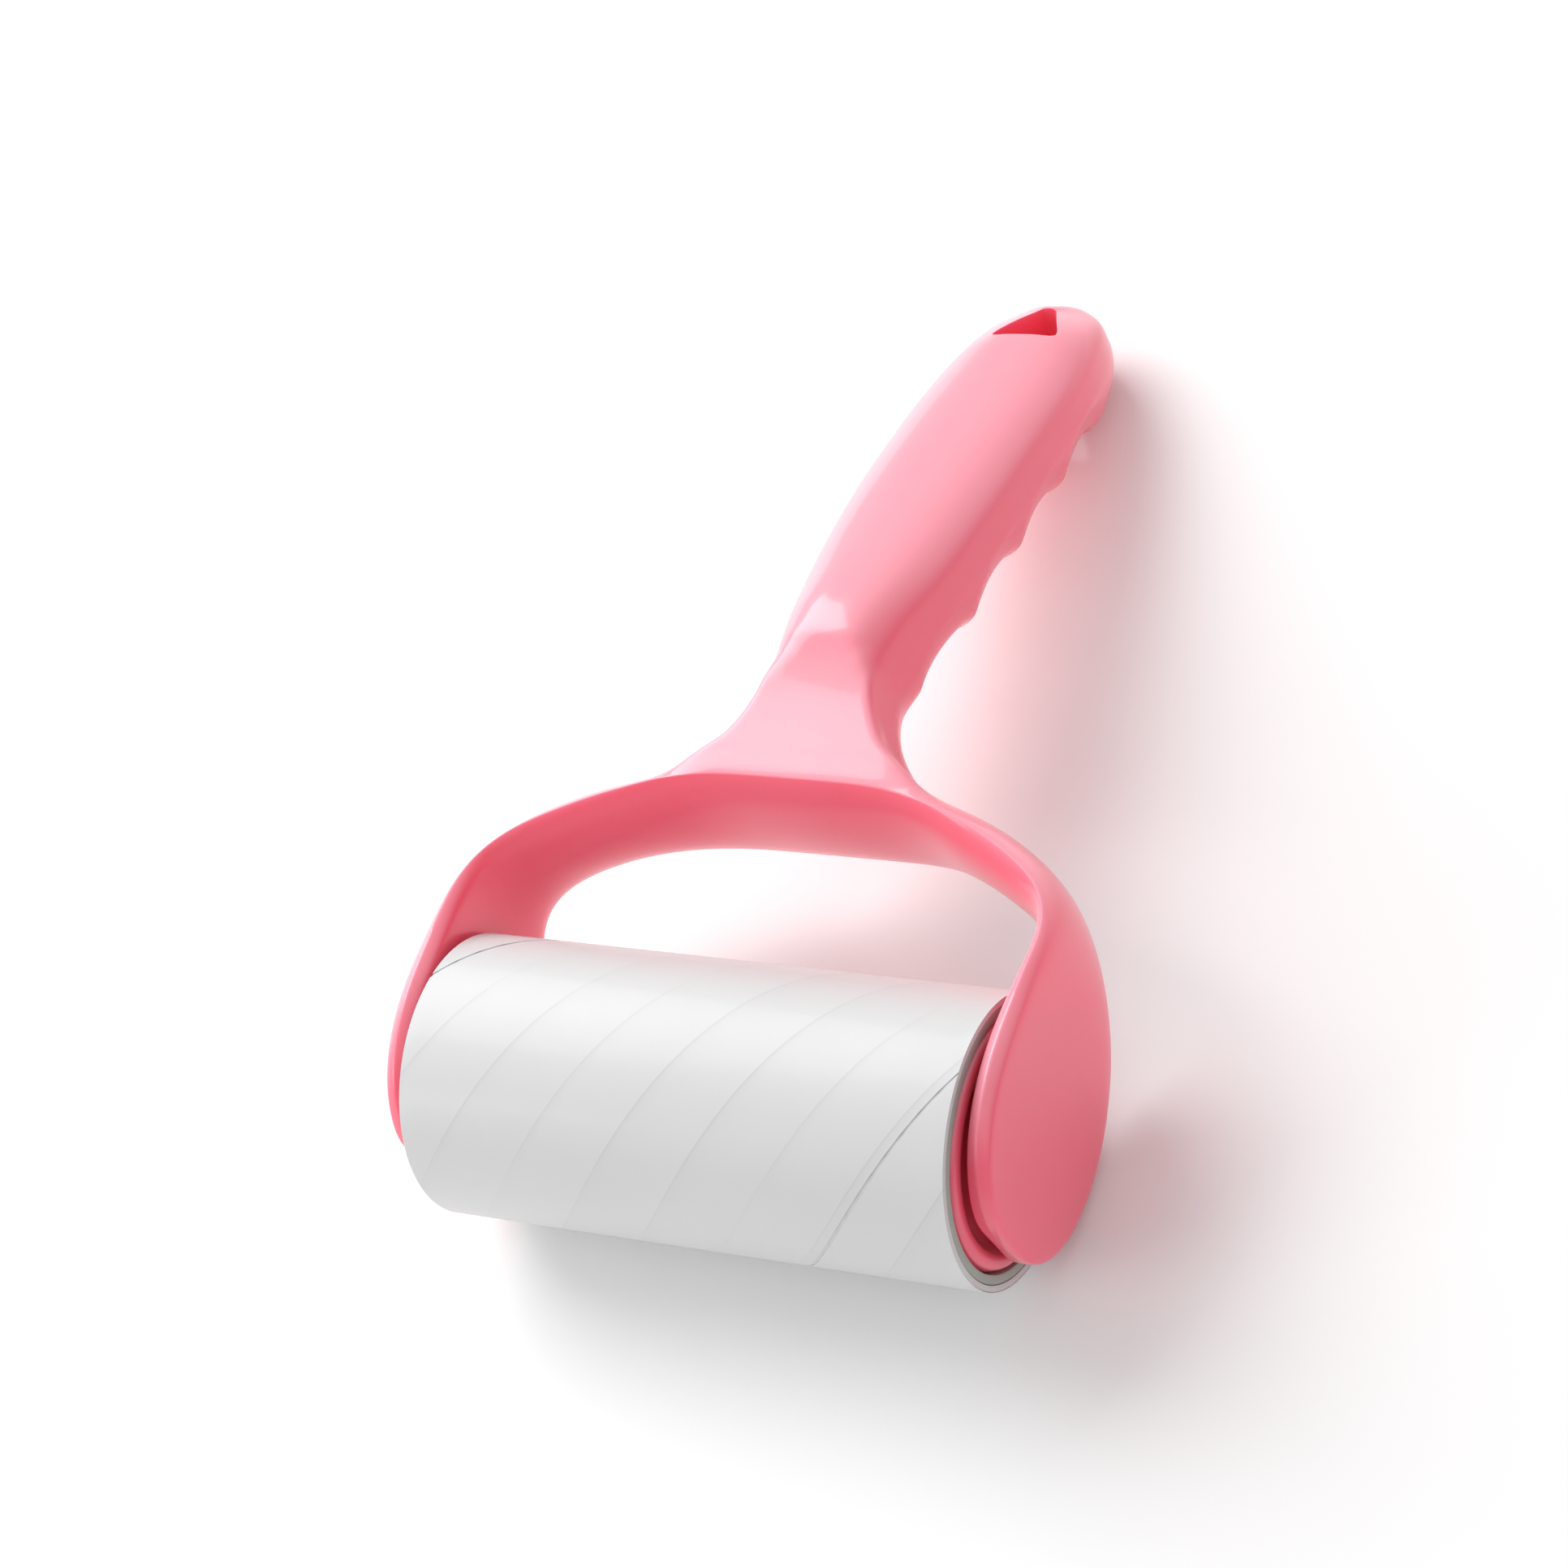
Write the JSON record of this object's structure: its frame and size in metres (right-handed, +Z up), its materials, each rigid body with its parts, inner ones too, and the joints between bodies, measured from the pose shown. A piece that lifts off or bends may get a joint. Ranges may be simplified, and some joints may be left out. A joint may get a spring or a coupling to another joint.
{
  "type": "lint roller",
  "caption": "Hand lint roller with a yoke-shaped plastic handle, finger-grooved grip with a hang hole, and a refill roll of adhesive paper that spins between the arms.",
  "frame": {"origin": "middle of the underside of the whole tool as it lies on a table, on its roll and the end of its grip", "axes": "+X along the roll to the right, +Y from the roll towards the end of the grip, +Z up out of the table; the front of the handle faces up"},
  "size_m": [0.114, 0.2046, 0.0506],
  "materials": {
    "pink_plastic": "glossy, slightly translucent pink moulding",
    "drum_plastic": "satin pale pink moulding",
    "core_board": "grey pressed paperboard",
    "white_paper": "smooth coated white adhesive paper",
    "screw_steel": "zinc-plated steel"
  },
  "bodies": {
    "handle": {"frame_moulding": "pink_plastic", "grip_back_cover": "pink_plastic", "cover_screw_lower": "screw_steel", "cover_screw_upper": "screw_steel", "pivot_pin_right": "pink_plastic", "pivot_pin_left": "pink_plastic"},
    "roller": {"end_cap_right": "pink_plastic", "end_cap_left": "pink_plastic", "drum_tube": "drum_plastic", "cardboard_core": "core_board", "adhesive_roll": "white_paper", "outer_sheet": "white_paper"}
  },
  "joints": [
    {"name": "roller_spin", "type": "hinge", "parent": "handle", "child": "roller", "pos_m": [0, -0.07833, 0.02397], "axis": [1, 0, 0], "continuous": true}
  ]
}
